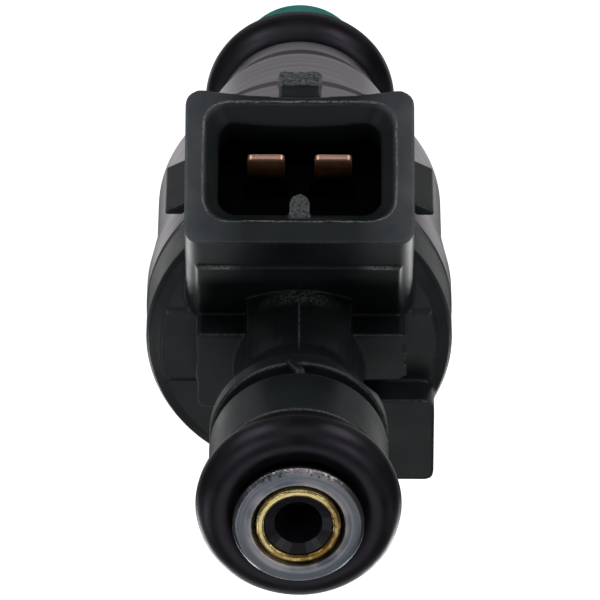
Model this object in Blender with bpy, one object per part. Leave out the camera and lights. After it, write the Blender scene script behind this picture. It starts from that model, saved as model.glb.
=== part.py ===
"""Top-feed solenoid fuel injector, modelled as separate pieces.

The injector stands upright on its own axis, Z: the fuel inlet is at the top, the nozzle at the
bottom, and the electrical connector leans out towards -Y. The origin is on the axis, level with the
middle of the nozzle O-ring. Numbers are millimetres until a mesh is made; MM turns them into metres.
Heights count from the valve seat's datum, and place() lowers each piece so that the origin is right.
"""

import math

import bmesh
import bpy
from mathutils import Matrix, Vector

MM = 0.001

# Driving dimensions
NOZZLE_SEAL_Z = 0.45         # middle of the nozzle O-ring above the datum
INLET_SEAL_Z = 62.5          # middle of the inlet O-ring
SEAL_OUTER_R = 7.5           # both O-rings as mounted
SEAL_SECTION_R = 1.79
SEAL_LAND_R = 3.85           # what an O-ring grips
INLET_TOP_Z = 65.6
NOZZLE_TIP_Z = -6.6
HOUSING_R = 10.95
HOUSING_RIM_R = 11.6
NARROW_R = 7.55              # the housing below the coil
HOUSING_BOTTOM_Z = 4.75
HOUSING_TOP_Z = 34.3
COIL_BORE_R = 10.0
COIL_FLOOR_Z = 19.5
ARMATURE_BORE_R = 5.0
POLE_R = 4.9
POLE_FACE_Z = 24.25
POLE_TOP_Z = 36.0
POLE_TAPER = 1.0             # height over which the pole narrows to the tube
ARMATURE_TOP_Z = 24.0
NEEDLE_R = 1.9
STOP_WASHER_Z = 12.5         # underside of the washer that the needle's shoulder meets
FLANGE_R = 11.55
FLANGE_BOTTOM_Z = 34.6
FLANGE_TOP_Z = 39.6
PLATE_TOP_Z = 39.8           # low plate across the flange
PLATE_HALF_Y = 2.95
BLOCK_TOP_Z = 43.1
LUG_TOP_Z = 42.7
SPIGOT_R = 6.6               # moulded collar and ring round the inlet tube
SOCKET_LEAN = math.radians(55)   # from the injector axis towards -Y
SOCKET_MOUTH = Vector((0.0, -16.77, 42.08))
SOCKET_OUTER = (17.0, 12.6)
SOCKET_DISH = 0.58           # how far the nozzle side of the socket dips in at its middle
SOCKET_MOUTH_SIZE = (14.3, 9.8)
SOCKET_LEAD_IN = (1.1, 1.3)  # the hollow narrows by this on each side over this depth
SOCKET_DEPTH = 7.7
SOCKET_INNER_SHIFT = 0.4     # the hollow sits nearer the nozzle side
BLADE_PITCH = 5.0
BLADE_WIDTH = 2.8
BLADE_THICK = 0.8
BLADE_TIP_DEPTH = 2.1        # below the socket's mouth
BLADE_SHIFT = 1.8            # from the socket's middle towards the nozzle side
BLADE_LEG_Y = -7.6           # where a terminal turns down into the coil
GAP = 0.15                   # between two pieces that touch
SEAL_GAP = 0.1

ROUND = 48
SEAL_ROUND = 40
FINE_ROUND = 32
SMALL_ROUND = 24

# Socket axes: out of the mouth, and across it towards the nozzle
SOCKET_OUT = Vector((0.0, -math.sin(SOCKET_LEAN), math.cos(SOCKET_LEAN)))
SOCKET_NOZZLE_SIDE = Vector((0.0, -math.cos(SOCKET_LEAN), -math.sin(SOCKET_LEAN)))


def clear_scene():
    for item in list(bpy.data.objects):
        bpy.data.objects.remove(item, do_unlink=True)


def finish(name, colour, roughness, metallic=0.0):
    material = bpy.data.materials.new(name)
    material.use_nodes = True
    shader = material.node_tree.nodes["Principled BSDF"]
    shader.inputs["Base Color"].default_value = (*colour, 1.0)
    shader.inputs["Roughness"].default_value = roughness
    shader.inputs["Metallic"].default_value = metallic
    material.diffuse_color = (*colour, 1.0)
    return material


def make_mesh(name, shape, material):
    """A shaded mesh from a bmesh in millimetres."""
    bmesh.ops.remove_doubles(shape, verts=shape.verts, dist=1e-4)
    bmesh.ops.recalc_face_normals(shape, faces=shape.faces)
    bmesh.ops.scale(shape, vec=(MM, MM, MM), verts=shape.verts)
    mesh = bpy.data.meshes.new(name)
    shape.to_mesh(mesh)
    shape.free()
    mesh.shade_smooth()
    mesh.set_sharp_from_angle(angle=math.radians(30))
    if material:
        mesh.materials.append(material)
    return mesh


def place(name, mesh, height=0.0):
    piece = bpy.data.objects.new(name, mesh)
    piece.location.z = (height - NOZZLE_SEAL_Z) * MM
    bpy.context.scene.collection.objects.link(piece)
    return piece


def spun(outline, segments, closed=True):
    """A bmesh made by turning (radius, height) points about the injector axis."""
    shape = bmesh.new()
    points = [shape.verts.new((radius, 0.0, height)) for radius, height in outline]
    edges = [shape.edges.new(pair) for pair in zip(points, points[1:])]
    if closed:
        edges.append(shape.edges.new((points[-1], points[0])))
    bmesh.ops.spin(
        shape, geom=points + edges, cent=(0, 0, 0), axis=(0, 0, 1),
        angle=2 * math.pi, steps=segments, use_merge=True,
    )
    return shape


def turned(name, outline, material=None, segments=ROUND, height=0.0):
    """A ring-shaped or hollow turned piece."""
    return place(name, make_mesh(name, spun(outline, segments), material), height)


def turned_solid(name, outline, material=None, segments=ROUND, height=0.0):
    """A turned piece whose outline starts and ends on the axis."""
    return place(name, make_mesh(name, spun(outline, segments, closed=False), material), height)


def upright(height):
    """Placement of an outline drawn in X and Y and raised along Z from this height."""
    return Matrix.Translation((0.0, 0.0, height))


def in_socket(depth, shift=0.0, across=0.0):
    """Placement of an outline drawn across the socket (X, towards the inlet) and raised out of it."""
    origin = SOCKET_MOUTH - SOCKET_OUT * depth + SOCKET_NOZZLE_SIDE * shift
    origin.x = across
    columns = (Vector((1, 0, 0)), -SOCKET_NOZZLE_SIDE, SOCKET_OUT)
    frame = Matrix(columns).transposed().to_4x4()
    return Matrix.Translation(origin) @ frame


def sideways(x):
    """Placement of an outline drawn in Y and Z and raised along X from this x."""
    columns = (Vector((0, 1, 0)), Vector((0, 0, 1)), Vector((1, 0, 0)))
    return Matrix.Translation((x, 0, 0)) @ Matrix(columns).transposed().to_4x4()


def prism(name, outline, depth, placement, material=None):
    """An outline extruded by depth, then moved to its placement."""
    shape = bmesh.new()
    face = shape.faces.new([shape.verts.new((u, v, 0.0)) for u, v in outline])
    grown = bmesh.ops.extrude_face_region(shape, geom=[face])
    top = [item for item in grown["geom"] if isinstance(item, bmesh.types.BMVert)]
    bmesh.ops.translate(shape, vec=(0, 0, depth), verts=top)
    bmesh.ops.transform(shape, matrix=placement, verts=shape.verts)
    return place(name, make_mesh(name, shape, material))


def rectangle(x_low, x_high, y_low, y_high):
    return [(x_low, y_low), (x_high, y_low), (x_high, y_high), (x_low, y_high)]


def arc(centre, radius, start, end, steps):
    """Points on an arc, angles in degrees."""
    angles = [math.radians(start + (end - start) * i / steps) for i in range(steps + 1)]
    return [(centre[0] + radius * math.cos(a), centre[1] + radius * math.sin(a)) for a in angles]


def rounded_rectangle(x_low, x_high, y_low, y_high, radius, steps=4):
    corners = (
        (x_high - radius, y_high - radius, 0),
        (x_low + radius, y_high - radius, 90),
        (x_low + radius, y_low + radius, 180),
        (x_high - radius, y_low + radius, 270),
    )
    points = []
    for x, y, start in corners:
        points += arc((x, y), radius, start, start + 90, steps)
    return points


def centred(size, radius):
    width, height = size
    return rounded_rectangle(-width / 2, width / 2, -height / 2, height / 2, radius)


def helper(piece):
    """Marks a shape that only cuts or joins another."""
    piece.hide_render = True
    piece.display_type = "WIRE"
    return piece


def combine(piece, other, operation):
    step = piece.modifiers.new(f"{operation.lower()} {other.name}", "BOOLEAN")
    step.operation = operation
    step.solver = "EXACT"
    step.object = helper(other)


def cut(piece, *cutters):
    for cutter in cutters:
        combine(piece, cutter, "DIFFERENCE")


def join(piece, *additions):
    for addition in additions:
        combine(piece, addition, "UNION")


# ---------------------------------------------------------------- seals

def make_seals(rubber):
    """The two O-rings that seal the injector in its fuel rail and its manifold, and three inner ones."""
    centre_r = SEAL_OUTER_R - SEAL_SECTION_R
    section = arc((centre_r, 0.0), SEAL_SECTION_R, 0, 330, 11)
    turned("nozzle_o_ring", section, rubber, SEAL_ROUND, NOZZLE_SEAL_Z)
    turned("inlet_o_ring", section, rubber, SEAL_ROUND, INLET_SEAL_Z)
    inner_section_r = 0.45
    for name, radius, height in (
        ("valve_body_seal", 5.05, 7.2),
        ("lower_coil_seal", 5.72, COIL_FLOOR_Z + 0.6),
        ("upper_coil_seal", 5.72, 30.6),
    ):
        section = arc((radius, 0.0), inner_section_r, 0, 300, 5)
        turned(name, section, rubber, SMALL_ROUND, height)


# ---------------------------------------------------------------- nozzle end

def make_pintle_cap(plastic):
    """Cap over the nozzle tip. Its flange keeps the O-ring on, and a hole lets the spray out."""
    flange_r = 6.15
    flange_z = -1.65
    body_r = 4.77
    tip_chamfer = 0.3
    bore_r = SEAL_LAND_R + SEAL_GAP
    spray_hole_r = 1.5
    floor_z = -4.75
    turned("pintle_cap", [
        (flange_r, flange_z), (flange_r, flange_z - 0.75), (body_r, flange_z - 0.95),
        (body_r, NOZZLE_TIP_Z + tip_chamfer), (body_r - tip_chamfer, NOZZLE_TIP_Z),
        (spray_hole_r, NOZZLE_TIP_Z),
        (spray_hole_r, floor_z), (bore_r, floor_z), (bore_r, flange_z),
    ], plastic, FINE_ROUND)


def make_valve_body(steel):
    """Needle guide and seat, pressed into the housing and carrying the nozzle O-ring."""
    collar_r = 6.4
    plug_r = 5.5
    guide_r = NEEDLE_R + SEAL_GAP
    orifice_r = 0.85
    turned("valve_body", [
        (plug_r, 12.3), (plug_r, 7.9), (4.5, 7.9), (4.5, 6.5), (plug_r, 6.5),
        (plug_r, HOUSING_BOTTOM_Z - GAP), (collar_r, HOUSING_BOTTOM_Z - GAP), (collar_r, 2.95),
        (SEAL_LAND_R, 2.95), (SEAL_LAND_R, -4.6), (orifice_r, -4.6), (orifice_r, -3.4),
        (guide_r, -2.2), (guide_r, 2.6), (3.0, 3.6), (3.0, 12.3),
    ], steel, FINE_ROUND)


def make_valve_needle(steel):
    """Needle with its pintle, seat cone, guide land and the shoulder that meets the stop washer."""
    shoulder_z = STOP_WASHER_Z - 0.12
    return turned_solid("valve_needle", [
        (0.0, 18.0), (1.35, 18.0), (1.35, shoulder_z), (2.5, shoulder_z), (2.5, 10.6),
        (1.4, 9.6), (1.4, 2.8), (NEEDLE_R, 2.4), (NEEDLE_R, -2.1), (0.7, -3.3),
        (0.55, -5.0), (0.75, -5.6), (0.0, -5.6),
    ], steel, SMALL_ROUND)


def make_stop_washer(steel):
    """C-shaped washer that limits the needle's lift."""
    top = STOP_WASHER_Z + 0.9
    washer = turned("stop_washer", [
        (5.4, top), (5.4, STOP_WASHER_Z), (1.6, STOP_WASHER_Z), (1.6, top),
    ], steel, FINE_ROUND)
    slot = prism("washer_slot", rectangle(-1.6, 1.6, 0.0, 7.0), 2.0, upright(STOP_WASHER_Z - 0.5))
    cut(washer, slot)


# ---------------------------------------------------------------- solenoid

def make_armature(steel):
    """Iron plunger fixed to the needle's top, with a pocket for the return spring."""
    outer_r = POLE_R
    return turned("armature", [
        (outer_r, ARMATURE_TOP_Z), (outer_r, 14.2), (1.45, 14.2), (1.45, 18.6), (2.4, 18.6),
        (2.4, ARMATURE_TOP_Z),
    ], steel, FINE_ROUND)


def make_return_spring(steel):
    """Compression spring between the armature and the adjusting sleeve."""
    low, high = 19.0, 31.9
    turns = 7
    points_per_turn = 11
    coil_r = 1.75
    wire_r = 0.28
    curve = bpy.data.curves.new("return_spring", "CURVE")
    curve.dimensions = "3D"
    curve.bevel_depth = wire_r * MM
    curve.bevel_resolution = 1
    curve.use_fill_caps = True
    curve.materials.append(steel)
    count = turns * points_per_turn
    line = curve.splines.new("POLY")
    line.points.add(count)
    for i, point in enumerate(line.points):
        turn = 2 * math.pi * i / points_per_turn
        rise = low + wire_r + (high - low - 2 * wire_r) * i / count
        point.co = (coil_r * MM * math.cos(turn), coil_r * MM * math.sin(turn), rise * MM, 1.0)
    place("return_spring", curve)


def make_coil(plastic, copper):
    """Bobbin with its winding."""
    flange_r = 9.6
    hub_r = 6.6
    bore_r = POLE_R + 0.25
    seal_pocket_r = 6.25
    low, high = COIL_FLOOR_Z + GAP, 31.05
    bobbin = turned("coil_bobbin", [
        (flange_r, high), (flange_r, high - 1.4), (hub_r, high - 1.4), (hub_r, low + 1.4),
        (flange_r, low + 1.4), (flange_r, low), (seal_pocket_r, low), (seal_pocket_r, low + 1.0),
        (bore_r, low + 1.0), (bore_r, high - 1.0), (seal_pocket_r, high - 1.0), (seal_pocket_r, high),
    ], plastic, FINE_ROUND)
    for side in (-1, 1):
        middle = side * BLADE_PITCH / 2
        slot = rectangle(middle - 1.7, middle + 1.7, BLADE_LEG_Y - 0.6, BLADE_LEG_Y + 0.6)
        cut(bobbin, prism(f"bobbin_slot_{side}", slot, 2.0, upright(high - 1.0)))
    turned("coil_winding", [
        (9.0, high - 1.4 - GAP), (9.0, low + 1.4 + GAP), (hub_r + GAP, low + 1.4 + GAP),
        (hub_r + GAP, high - 1.4 - GAP),
    ], copper, FINE_ROUND)


def make_flux_plate(steel):
    """Washer that closes the magnetic circuit, with a notch for the terminals."""
    plate = turned("flux_plate", [
        (COIL_BORE_R - SEAL_GAP, 33.3), (COIL_BORE_R - SEAL_GAP, 31.3), (POLE_R + GAP, 31.3),
        (POLE_R + GAP, 33.3),
    ], steel, FINE_ROUND)
    cut(plate, prism("flux_plate_notch", rectangle(-4.5, 4.5, -12.0, -6.6), 4.0, upright(30.0)))


def make_housing(steel):
    """Steel can round the coil. The narrow end holds the valve body, the wide rim the moulding."""
    valve_pocket_r = 5.6
    step_z = 13.55
    turned("valve_housing", [
        (6.6, HOUSING_BOTTOM_Z), (NARROW_R, 7.2), (NARROW_R, 15.0), (10.0, 15.9), (HOUSING_R, 18.5),
        (HOUSING_R, 26.9), (HOUSING_R + 0.15, 27.2), (HOUSING_RIM_R, 31.5),
        (HOUSING_RIM_R, HOUSING_TOP_Z), (COIL_BORE_R, HOUSING_TOP_Z), (COIL_BORE_R, COIL_FLOOR_Z),
        (ARMATURE_BORE_R, COIL_FLOOR_Z), (ARMATURE_BORE_R, step_z), (valve_pocket_r, step_z),
        (valve_pocket_r, HOUSING_BOTTOM_Z),
    ], steel)


# ---------------------------------------------------------------- fuel path

def make_inlet_tube(steel):
    """Fuel tube. Its wide lower end is the magnet's pole, its top flange keeps the O-ring on."""
    lip_r = 4.78
    lip_chamfer = 0.23
    filter_bore_r = 3.15
    bore_edge_r = 3.43
    spring_bore_r = 2.6
    turned("inlet_tube", [
        (lip_r, INLET_TOP_Z - lip_chamfer), (lip_r, INLET_TOP_Z - 0.6), (SEAL_LAND_R, 64.35),
        (SEAL_LAND_R, POLE_TOP_Z + POLE_TAPER), (POLE_R, POLE_TOP_Z), (POLE_R, POLE_FACE_Z),
        (spring_bore_r, POLE_FACE_Z), (spring_bore_r, 47.0), (filter_bore_r, 47.5),
        (filter_bore_r, INLET_TOP_Z - 0.5), (bore_edge_r, INLET_TOP_Z),
        (lip_r - lip_chamfer, INLET_TOP_Z),
    ], steel, FINE_ROUND)


def make_adjusting_sleeve(steel):
    """Pressed-in tube that sets the spring's load."""
    turned("adjusting_sleeve", [(2.5, 44.0), (2.5, 32.2), (1.4, 32.2), (1.4, 44.0)],
           steel, SMALL_ROUND)


def make_filter(brass, plastic, mesh_finish):
    """Inlet strainer: a brass ring pressed in the tube, a moulded cage and its gauze."""
    ring_out, ring_in = 3.08, 2.54
    turned("filter_ring", [
        (ring_out, 65.15), (ring_out, 60.5), (ring_in, 60.5), (ring_in, 65.5),
        (ring_in + 0.2, INLET_TOP_Z), (ring_out - 0.12, 65.45),
    ], brass, FINE_ROUND)
    cage_out, cage_in = 2.46, 1.75
    cage = turned("filter_cage", [
        (cage_out, 65.45), (cage_out, 48.5), (0.7, 48.5), (0.7, 49.3), (cage_in, 49.3),
        (cage_in, 65.1),
    ], plastic, SMALL_ROUND)
    for turn in (0, 90):
        window = prism(f"cage_window_{turn}", rectangle(-3.0, 3.0, -1.2, 1.2), 9.0, upright(50.2))
        window.rotation_euler.z = math.radians(turn)
        cut(cage, window)
    turned("filter_screen", [(1.65, 60.0), (1.65, 49.45), (1.5, 49.45), (1.5, 60.0)],
           mesh_finish, SMALL_ROUND)


# ---------------------------------------------------------------- connector

def terminal_outline(clearance, top_depth, foot_z, chamfer=0.0):
    """Side view of a terminal, in Y and Z: a leaning blade that turns down into the coil."""
    middle = SOCKET_MOUTH + SOCKET_NOZZLE_SIDE * BLADE_SHIFT
    half = BLADE_THICK / 2 + clearance
    tip = middle - SOCKET_OUT * top_depth
    bend_depth = (BLADE_LEG_Y - middle.y) / -SOCKET_OUT.y
    bend_z = middle.z - SOCKET_OUT.z * bend_depth
    spread = half * math.tan(SOCKET_LEAN / 2)
    across = SOCKET_NOZZLE_SIDE * half
    chamfer_back = SOCKET_OUT * chamfer * 1.6
    chamfer_in = SOCKET_NOZZLE_SIDE * chamfer
    outline = [
        tip - across + chamfer_in,
        tip + across - chamfer_in,
        tip + across - chamfer_back,
        Vector((0, BLADE_LEG_Y - half, bend_z - spread)),
        Vector((0, BLADE_LEG_Y - half, foot_z)),
        Vector((0, BLADE_LEG_Y + half, foot_z)),
        Vector((0, BLADE_LEG_Y + half, bend_z + spread)),
        tip - across - chamfer_back,
    ]
    if not chamfer:
        outline = [outline[i] for i in (0, 1, 3, 4, 5, 6)]
    return [(point.y, point.z) for point in outline]


def make_terminals(copper):
    """The two blades of the socket, each in one piece with its leg to the coil."""
    outline = terminal_outline(0.0, BLADE_TIP_DEPTH, 30.3, chamfer=0.2)
    for name, side in (("terminal_left", 1), ("terminal_right", -1)):
        start = side * BLADE_PITCH / 2 - BLADE_WIDTH / 2
        prism(name, outline, BLADE_WIDTH, sideways(start), copper)


def cross_plate():
    """Low plate across the flange, with ends that follow the flange's arc."""
    end_r = 10.4
    bottom = 37.0
    angle = math.degrees(math.asin(PLATE_HALF_Y / end_r))
    right = arc((0, 0), end_r, -angle, angle, 5)
    left = [(-x, y) for x, y in reversed(right)]
    return prism("cross_plate", right + left, PLATE_TOP_Z - bottom, upright(bottom))


def upper_block():
    """Raised block across the neck's foot: deeper on the +X side, with a rounded corner there."""
    corner_r = 0.6
    left, right = -7.8, 7.6
    shallow_back, deep_back = 0.98, 3.4
    bottom = 38.6
    outline = [(0.0, shallow_back), (left + 0.3, shallow_back), (left, shallow_back - 0.3)]
    outline += [(left, -PLATE_HALF_Y), (right, -PLATE_HALF_Y)]
    outline += arc((right - corner_r, deep_back - corner_r), corner_r, 0, 90, 4)
    outline += [(0.0, deep_back)]
    return prism("upper_block", outline, BLOCK_TOP_Z - bottom, upright(bottom))


def lug():
    """Upright tab at the back of the -X side, which reaches past the flange."""
    front, back = 3.0, 10.0
    outer = -10.2
    front_r, back_r = 1.0, 0.7
    bottom = 35.6
    outline = [(-3.0, back), (-3.0, front)]
    outline += arc((outer + front_r, front + front_r), front_r, 270, 180, 4)
    outline += arc((outer + back_r, back - back_r), back_r, 180, 90, 4)
    return prism("lug", outline, LUG_TOP_Z - bottom, upright(bottom))


def neck_foot():
    """Round-fronted foot of the neck on the connector side, which runs up into the neck."""
    half_width, steps = 3.9, 6
    profile = [(6.5, 39.0), (6.5, BLOCK_TOP_Z), (6.2, 44.0), (5.6, 45.6), (5.1, 47.0), (4.6, 48.5)]
    shape = bmesh.new()
    rings = []
    for radius, height in profile:
        half_angle = math.degrees(math.asin(half_width / radius))
        outline = arc((0, 0), radius, -90 - half_angle, -90 + half_angle, steps)
        outline += [(half_width, 0.0), (-half_width, 0.0)]
        rings.append([shape.verts.new((x, y, height)) for x, y in outline])
    for low, high in zip(rings, rings[1:]):
        for i in range(len(low)):
            shape.faces.new((low[i - 1], low[i], high[i], high[i - 1]))
    shape.faces.new(rings[0])
    shape.faces.new(rings[-1])
    return place("neck_foot", make_mesh("neck_foot", shape, None))


def saddle():
    """Wings at the foot of the socket that lie against the steel housing."""
    low, high = 26.7, 33.4
    half = [(4.9, -10.75), (10.15, -8.1), (10.15, -7.7), (7.0, -7.7)]
    outline = half + [(-x, y) for x, y in reversed(half)]
    return prism("saddle", outline, high - low, upright(low))


def socket_outline():
    """The socket's outside across its axis: rounded corners, and a shallow dish on the nozzle side."""
    corner_r = 1.2
    half_width, half_height = SOCKET_OUTER[0] / 2, SOCKET_OUTER[1] / 2
    steps = 8
    outline = centred(SOCKET_OUTER, corner_r)
    flat = half_width - corner_r
    for i in range(1, steps):
        x = -flat + 2 * flat * i / steps
        dip = SOCKET_DISH * (1 - (x / flat) ** 2)
        outline.insert(-5, (x, -half_height + dip))
    return outline


def socket_hollow():
    """The socket's inside: a flared mouth, then straight walls to the floor."""
    inset, flare_depth = SOCKET_LEAD_IN
    over = 0.5
    shape = bmesh.new()
    loops = []
    for depth, shrink in ((SOCKET_DEPTH, inset), (flare_depth, inset), (0.0, 0.0), (-over, 0.0)):
        size = (SOCKET_MOUTH_SIZE[0] - 2 * shrink, SOCKET_MOUTH_SIZE[1] - 2 * shrink)
        outline = centred(size, 1.9 - 0.5 * shrink)
        loops.append([shape.verts.new((u, v, -depth)) for u, v in outline])
    count = len(loops[0])
    for low, high in zip(loops, loops[1:]):
        for i in range(count):
            j = (i + 1) % count
            shape.faces.new((low[i], low[j], high[j], high[i]))
    shape.faces.new(loops[0])
    shape.faces.new(loops[-1])
    bmesh.ops.transform(shape, matrix=in_socket(0.0, SOCKET_INNER_SHIFT), verts=shape.verts)
    return place("socket_hollow", make_mesh("socket_hollow", shape, None))


def socket_key():
    """Round-topped rib on the socket's inlet-side wall, which a plug's groove slides over."""
    key_r, key_height, front_depth = 0.75, 1.5, 0.8
    wall = SOCKET_MOUTH_SIZE[1] / 2 - SOCKET_LEAD_IN[0]
    base = wall + 1.0
    crest = wall - key_height + key_r
    outline = [(key_r, base), (-key_r, base)] + arc((0.0, crest), key_r, 180, 360, 6)
    return prism("socket_key", outline, SOCKET_DEPTH + 0.4 - front_depth,
                 in_socket(SOCKET_DEPTH + 0.4, SOCKET_INNER_SHIFT))


def latch_wedge():
    """Ramp on the nozzle side of the socket, which a plug's clip snaps over."""
    wall = SOCKET_OUTER[1] / 2
    side_view = [(0.3, -1.5), (0.3, 0.45), (1.3, 2.2), (3.4, 2.2), (3.7, -1.5)]
    points = []
    for depth, rise in side_view:
        point = SOCKET_MOUTH - SOCKET_OUT * depth + SOCKET_NOZZLE_SIDE * (wall + rise)
        points.append((point.y, point.z))
    width = 3.1
    return prism("latch_wedge", points, width, sideways(-width / 2))


def make_connector_body(plastic):
    """Moulding over the inlet tube and the coil's top: flange, neck, collars and socket."""
    tube_r = SEAL_LAND_R + GAP
    pole_r = POLE_R + GAP
    stem_r = COIL_BORE_R - SEAL_GAP
    stem_z = 33.5
    ring_z = 60.1
    neck_r = 4.85
    clear_top, clear_bottom = ring_z + 0.9, 20.0
    body = turned_solid("connector_body", [
        (0.0, ring_z), (SPIGOT_R, ring_z), (SPIGOT_R, 54.9), (5.6, 54.9), (5.6, 53.5), (SPIGOT_R, 53.5),
        (SPIGOT_R, 52.05), (neck_r, 52.05), (neck_r, FLANGE_TOP_Z), (10.5, FLANGE_TOP_Z),
        (11.3, FLANGE_TOP_Z - 0.4), (FLANGE_R, FLANGE_TOP_Z - 1.1), (FLANGE_R, 30.0), (0.0, 30.0),
    ], plastic)
    socket = prism("socket_outer", socket_outline(), 14.0, in_socket(14.0))
    join(body, socket, cross_plate(), upper_block(), lug(), neck_foot(), saddle(), latch_wedge())
    inside = turned_solid("connector_inside", [
        (0.0, clear_top), (tube_r, clear_top), (tube_r, POLE_TOP_Z + POLE_TAPER + GAP),
        (pole_r, POLE_TOP_Z + GAP), (pole_r, stem_z), (stem_r, stem_z),
        (stem_r, FLANGE_BOTTOM_Z), (HOUSING_RIM_R + GAP, FLANGE_BOTTOM_Z),
        (HOUSING_RIM_R + GAP, 31.3), (HOUSING_R + 0.35, 26.9), (HOUSING_R + GAP, clear_bottom),
        (0.0, clear_bottom),
    ])
    cut(body, inside, socket_hollow())
    slot = terminal_outline(GAP, SOCKET_DEPTH - 1.5, 30.0)
    slot_width = BLADE_WIDTH + 2 * GAP
    for side in (-1, 1):
        start = side * BLADE_PITCH / 2 - slot_width / 2
        cut(body, prism(f"terminal_slot_{side}", slot, slot_width, sideways(start)))
    join(body, socket_key())


def main():
    clear_scene()
    rubber = finish("rubber", (0.012, 0.011, 0.013), 0.42)
    steel = finish("housing steel", (0.30, 0.28, 0.31), 0.38, 1.0)
    bright_steel = finish("bright steel", (0.42, 0.44, 0.47), 0.30, 1.0)
    spring_steel = finish("spring steel", (0.38, 0.38, 0.40), 0.28, 1.0)
    magnet_steel = finish("magnet steel", (0.34, 0.34, 0.35), 0.42, 1.0)
    black_plastic = finish("moulding", (0.020, 0.023, 0.027), 0.48)
    bobbin_plastic = finish("bobbin plastic", (0.05, 0.04, 0.03), 0.55)
    green_plastic = finish("cap plastic", (0.0, 0.16, 0.11), 0.45)
    brass = finish("brass", (0.72, 0.50, 0.14), 0.25, 1.0)
    contact = finish("contact copper", (0.45, 0.21, 0.12), 0.35, 1.0)
    copper = finish("coil copper", (0.55, 0.22, 0.10), 0.40, 1.0)
    gauze = finish("gauze", (0.45, 0.43, 0.38), 0.50)

    make_seals(rubber)
    make_pintle_cap(green_plastic)
    make_valve_body(bright_steel)
    make_stop_washer(spring_steel)
    make_housing(steel)
    make_coil(bobbin_plastic, copper)
    make_flux_plate(magnet_steel)
    make_inlet_tube(bright_steel)
    make_adjusting_sleeve(spring_steel)
    make_return_spring(spring_steel)
    make_filter(brass, black_plastic, gauze)
    make_connector_body(black_plastic)
    make_terminals(contact)

    needle_slide = bpy.data.objects.new("needle_slide", None)
    bpy.context.scene.collection.objects.link(needle_slide)
    for moving in (make_valve_needle(bright_steel), make_armature(magnet_steel)):
        moving.parent = needle_slide


main()
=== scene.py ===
"""Looks of the top-feed fuel injector: detailed pieces, materials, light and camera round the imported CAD.

Shapes are drawn in millimetres. Heights count from the valve seat's datum, as in the CAD source, and
DATUM_Z says where that datum lies in the frame. finished() turns a shape into metres in the frame.
"""

import math

import bmesh
import bpy
import numpy as np
from mathutils import Matrix, Vector, noise


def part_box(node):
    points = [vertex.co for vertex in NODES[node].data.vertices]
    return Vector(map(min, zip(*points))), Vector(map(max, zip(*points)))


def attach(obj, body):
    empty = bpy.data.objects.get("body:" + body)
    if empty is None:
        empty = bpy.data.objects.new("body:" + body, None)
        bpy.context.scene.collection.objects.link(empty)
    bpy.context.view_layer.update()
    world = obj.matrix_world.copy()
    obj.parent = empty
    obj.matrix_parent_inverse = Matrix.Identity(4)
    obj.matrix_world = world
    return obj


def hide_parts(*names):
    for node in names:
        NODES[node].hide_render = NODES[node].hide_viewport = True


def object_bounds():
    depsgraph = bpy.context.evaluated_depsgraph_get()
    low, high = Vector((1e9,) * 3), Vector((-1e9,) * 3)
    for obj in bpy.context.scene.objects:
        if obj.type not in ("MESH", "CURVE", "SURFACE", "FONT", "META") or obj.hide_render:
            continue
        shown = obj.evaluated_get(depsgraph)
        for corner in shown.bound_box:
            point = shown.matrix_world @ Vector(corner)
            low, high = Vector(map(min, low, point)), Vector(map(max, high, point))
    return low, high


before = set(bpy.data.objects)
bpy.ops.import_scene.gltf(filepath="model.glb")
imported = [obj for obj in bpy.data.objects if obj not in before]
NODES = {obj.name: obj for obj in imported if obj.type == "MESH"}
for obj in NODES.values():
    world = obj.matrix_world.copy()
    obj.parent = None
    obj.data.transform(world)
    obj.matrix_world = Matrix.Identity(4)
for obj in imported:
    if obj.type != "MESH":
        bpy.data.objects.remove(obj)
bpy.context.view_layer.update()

MM = 0.001
BODY = "injector_body"

INLET_TOP_Z = 65.6
DATUM_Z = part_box("inlet_tube")[1][2] / MM - INLET_TOP_Z
NOZZLE_SEAL_Z = 0.45
INLET_SEAL_Z = 62.5
SEAL_SECTION_R = 1.79
SEAL_CENTRE_R = 7.5 - SEAL_SECTION_R
SEAL_LAND_R = 3.85
NOZZLE_TIP_Z = -6.6
HOUSING_BOTTOM_Z = 4.75
HOUSING_TOP_Z = 34.3
HOUSING_RIM_R = 11.6
FLANGE_R = 11.55
FLANGE_TOP_Z = 39.6
PLATE_TOP_Z = 39.8
PLATE_HALF_Y = 2.95
BLOCK_TOP_Z = 43.1
LUG_TOP_Z = 42.7
SPIGOT_R = 6.6
RING_TOP_Z = 60.1
COLLAR_LOW_Z = 52.05
CLIP_GROOVE = (5.6, 53.5, 54.9)
NECK_R = 4.85
FOOT_R = 6.5
FOOT_HALF_WIDTH = 3.9
PAD_FRONT_DEPTH = 4.0
PAD_HEIGHT = 0.24

SOCKET_LEAN = math.radians(55)
SOCKET_MOUTH = Vector((0.0, -16.77, 42.08))
SOCKET_OUT = Vector((0.0, -math.sin(SOCKET_LEAN), math.cos(SOCKET_LEAN)))
SOCKET_NOZZLE_SIDE = Vector((0.0, -math.cos(SOCKET_LEAN), -math.sin(SOCKET_LEAN)))
SOCKET_OUTER = (17.0, 12.6)
SOCKET_DISH = 0.58
SOCKET_MOUTH_SIZE = (14.3, 9.8)
SOCKET_CORNER_R = 1.9
SOCKET_LEAD_IN = (1.1, 1.3)
SOCKET_INNER_SHIFT = 0.4
SOCKET_DEPTH = 7.7
BLADE_PITCH = 5.0
BLADE_WIDTH = 2.8
BLADE_THICK = 0.8
BLADE_TIP_DEPTH = 2.1
BLADE_SHIFT = 1.8
BLADE_LEG_Y = -7.6

VOXEL = 0.12
MOULDING_TRIANGLES = 190_000


# ---------------------------------------------------------------- camera, floor and light

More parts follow.
